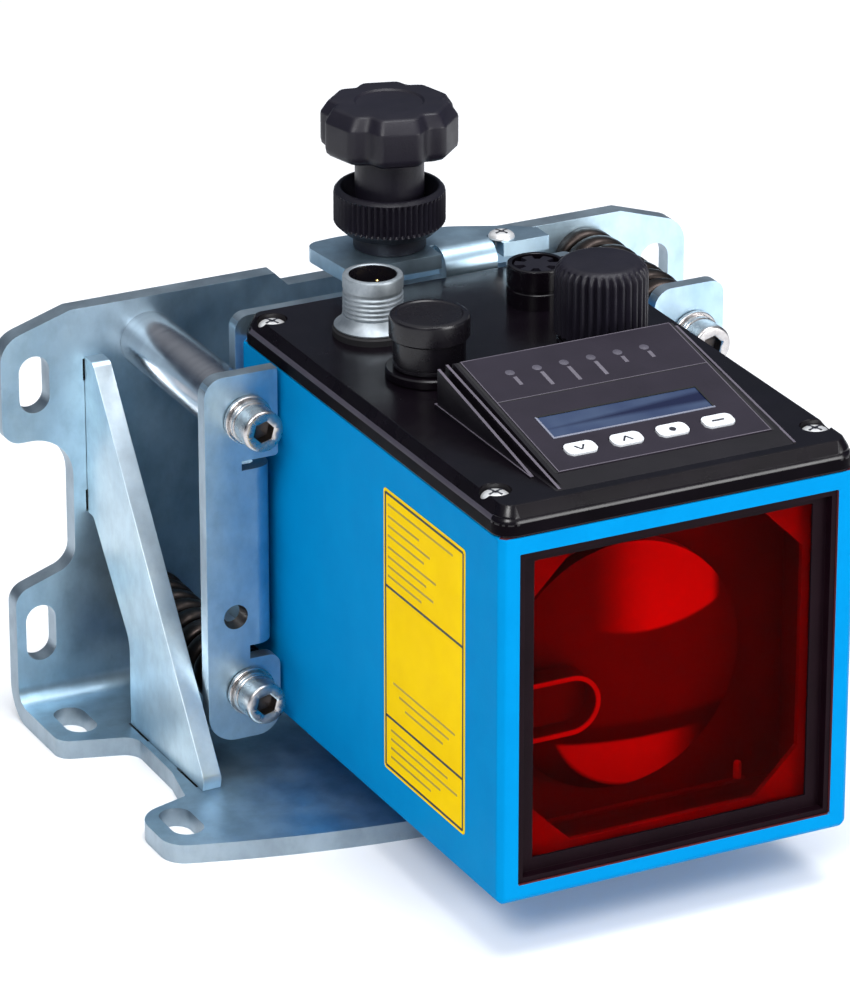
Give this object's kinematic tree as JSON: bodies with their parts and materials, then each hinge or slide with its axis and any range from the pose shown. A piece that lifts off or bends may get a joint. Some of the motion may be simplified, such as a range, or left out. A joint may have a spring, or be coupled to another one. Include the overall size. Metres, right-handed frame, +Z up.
{
  "type": "laser distance sensor",
  "caption": "Box-shaped laser distance sensor with a red window, held by a quick clamp in an alignment bracket with a pivot and two adjusting screws.",
  "frame": {"origin": "centre of the base plate's slot pattern, on its underside", "axes": "+Z up, -Y the way the window looks, X = 0 the sensor's middle plane"},
  "size_m": [0.1564, 0.1442, 0.1283],
  "materials": {
    "zinc_sheet": "bright zinc-plated sheet steel, slightly mottled",
    "turned_steel": "turned and polished",
    "screw_steel": "bright stainless fasteners",
    "spring_steel": "blackened spring steel",
    "lug_aluminium": "milled",
    "grip_plastic": "fine-grained moulding",
    "blue_paint": "semi-gloss paint on a casting",
    "black_frame": "matt black",
    "red_glass": "red filter glass",
    "lens_glass": "polished lens",
    "board_green": "solder resist",
    "cover_gloss": "gloss black",
    "seal_rubber": "matt rubber",
    "panel_plastic": "dark grey, satin",
    "display_glass": "clear display pane",
    "key_white": "satin white",
    "plug_nickel": "nickel plated",
    "contact_plastic": "moulded",
    "pin_gold": "gold-plated contacts"
  },
  "bodies": {
    "bracket": {"base_bracket": "zinc_sheet", "gusset_left": "zinc_sheet", "gusset_right": "zinc_sheet", "pivot_pillar": "turned_steel", "pivot_screw": "screw_steel", "pivot_washer": "screw_steel", "lower_spring": "spring_steel", "upper_spring": "spring_steel"},
    "pivot_ball": {"pivot_seat": "turned_steel"},
    "carriage": {"cradle": "zinc_sheet", "hanging_lug": "lug_aluminium", "housing": "blue_paint", "window_frame": "black_frame", "red_window": "red_glass", "aperture_mask": "black_frame", "lens_carrier": "black_frame", "receiver_lens": "lens_glass", "sender_barrel": "black_frame", "circuit_board": "board_green", "cover": "cover_gloss", "cover_seal": "seal_rubber", "control_panel": "panel_plastic", "panel_plate": "panel_plastic", "display_glass": "display_glass", "plug_gasket": "seal_rubber", "plug_shell": "plug_nickel", "plug_insert": "contact_plastic", "plug_pins": "pin_gold", "socket_shell": "contact_plastic", "socket_insert": "contact_plastic", "smooth_cap_stub": "contact_plastic", "knurled_cap_stub": "contact_plastic"},
    "lower_adjuster_follower": {"lower_adjuster_washer": "screw_steel"},
    "lower_adjuster": {"lower_adjusting_screw": "screw_steel"},
    "upper_adjuster_follower": {"upper_adjuster_washer": "screw_steel"},
    "upper_adjuster": {"upper_adjusting_screw": "screw_steel"},
    "clamp_slider": {"clamp_foot": "turned_steel"},
    "clamp_grip": {"star_grip": "grip_plastic", "clamp_stud": "turned_steel"},
    "lock_slider": {"lock_collar": "grip_plastic"},
    "lock_ring": {"lock_nut": "grip_plastic"},
    "down_key": {"key_down": "key_white"},
    "up_key": {"key_up": "key_white"},
    "set_key": {"key_set": "key_white"},
    "escape_key": {"key_escape": "key_white"},
    "smooth_cap_slider": {"smooth_cap_seal": "seal_rubber"},
    "smooth_cap_turner": {"smooth_cap": "grip_plastic"},
    "knurled_cap_slider": {"knurled_cap_seal": "seal_rubber"},
    "knurled_cap_turner": {"knurled_cap": "grip_plastic"}
  },
  "joints": [
    {"name": "aim_sideways", "type": "hinge", "parent": "bracket", "child": "pivot_ball", "pos_m": [-0.046, -0.007, 0.079], "axis": [0, 0, 1], "range_deg": [-1.5, 1.5], "deforming": ["upper_spring"]},
    {"name": "aim_up_down", "type": "hinge", "parent": "pivot_ball", "child": "carriage", "pos_m": [-0.046, -0.007, 0.079], "axis": [1, 0, 0], "range_deg": [-2, 2], "deforming": ["lower_spring"]},
    {"name": "lower_adjuster_travel", "type": "slide", "parent": "bracket", "child": "lower_adjuster_follower", "axis": [0, 1, 0], "range_m": [-0.0022, 0.0022]},
    {"name": "lower_adjuster_turn", "type": "hinge", "parent": "lower_adjuster_follower", "child": "lower_adjuster", "pos_m": [-0.046, -0.012, 0.0204], "axis": [0, 1, 0], "range_deg": [-940, 940]},
    {"name": "upper_adjuster_travel", "type": "slide", "parent": "bracket", "child": "upper_adjuster_follower", "axis": [0, 1, 0], "range_m": [-0.0027, 0.0027]},
    {"name": "upper_adjuster_turn", "type": "hinge", "parent": "upper_adjuster_follower", "child": "upper_adjuster", "pos_m": [0.054, -0.012, 0.079], "axis": [0, 1, 0], "range_deg": [-1200, 1200]},
    {"name": "clamp_travel", "type": "slide", "parent": "carriage", "child": "clamp_slider", "axis": [0, 0, 1], "range_m": [0, 0.005]},
    {"name": "clamp_turn", "type": "hinge", "parent": "clamp_slider", "child": "clamp_grip", "pos_m": [0, 0.0208, 0.12], "axis": [0, 0, 1], "range_deg": [0, 1810]},
    {"name": "lock_travel", "type": "slide", "parent": "carriage", "child": "lock_slider", "axis": [0, 0, 1], "range_m": [0, 0.0012]},
    {"name": "lock_turn", "type": "hinge", "parent": "lock_slider", "child": "lock_ring", "pos_m": [0, 0.0208, 0.104], "axis": [0, 0, 1], "range_deg": [0, 440]},
    {"name": "smooth_cap_travel", "type": "slide", "parent": "carriage", "child": "smooth_cap_slider", "axis": [0, 0, 1], "range_m": [0, 0.006]},
    {"name": "smooth_cap_turn", "type": "hinge", "parent": "smooth_cap_slider", "child": "smooth_cap_turner", "pos_m": [-0.0195, -0.0355, 0.1], "axis": [0, 0, 1], "range_deg": [0, 2170]},
    {"name": "knurled_cap_travel", "type": "slide", "parent": "carriage", "child": "knurled_cap_slider", "axis": [0, 0, 1], "range_m": [0, 0.006]},
    {"name": "knurled_cap_turn", "type": "hinge", "parent": "knurled_cap_slider", "child": "knurled_cap_turner", "pos_m": [0.0172, -0.037, 0.1], "axis": [0, 0, 1], "range_deg": [0, 2170]},
    {"name": "down_key_press", "type": "slide", "parent": "carriage", "child": "down_key", "axis": [0, 0.1822, -0.9833], "range_m": [0, 0.00035], "stiffness_N_per_m": 500, "springref_m": -0.0002},
    {"name": "up_key_press", "type": "slide", "parent": "carriage", "child": "up_key", "axis": [0, 0.1822, -0.9833], "range_m": [0, 0.00035], "stiffness_N_per_m": 500, "springref_m": -0.0002},
    {"name": "set_key_press", "type": "slide", "parent": "carriage", "child": "set_key", "axis": [0, 0.1822, -0.9833], "range_m": [0, 0.00035], "stiffness_N_per_m": 500, "springref_m": -0.0002},
    {"name": "escape_key_press", "type": "slide", "parent": "carriage", "child": "escape_key", "axis": [0, 0.1822, -0.9833], "range_m": [0, 0.00035], "stiffness_N_per_m": 500, "springref_m": -0.0002}
  ],
  "couplings": [
    {"joint": "lower_adjuster_travel", "follows": "aim_up_down", "m_per_rad": 0.0586},
    {"joint": "lower_adjuster_turn", "follows": "aim_up_down", "ratio": 460.2},
    {"joint": "upper_adjuster_travel", "follows": "aim_sideways", "m_per_rad": 0.1},
    {"joint": "upper_adjuster_turn", "follows": "aim_sideways", "ratio": 785.4},
    {"joint": "clamp_turn", "follows": "clamp_travel", "rad_per_m": 6283.2},
    {"joint": "lock_turn", "follows": "lock_travel", "rad_per_m": 6283.2},
    {"joint": "smooth_cap_turn", "follows": "smooth_cap_travel", "rad_per_m": 6283.2},
    {"joint": "knurled_cap_turn", "follows": "knurled_cap_travel", "rad_per_m": 6283.2}
  ]
}
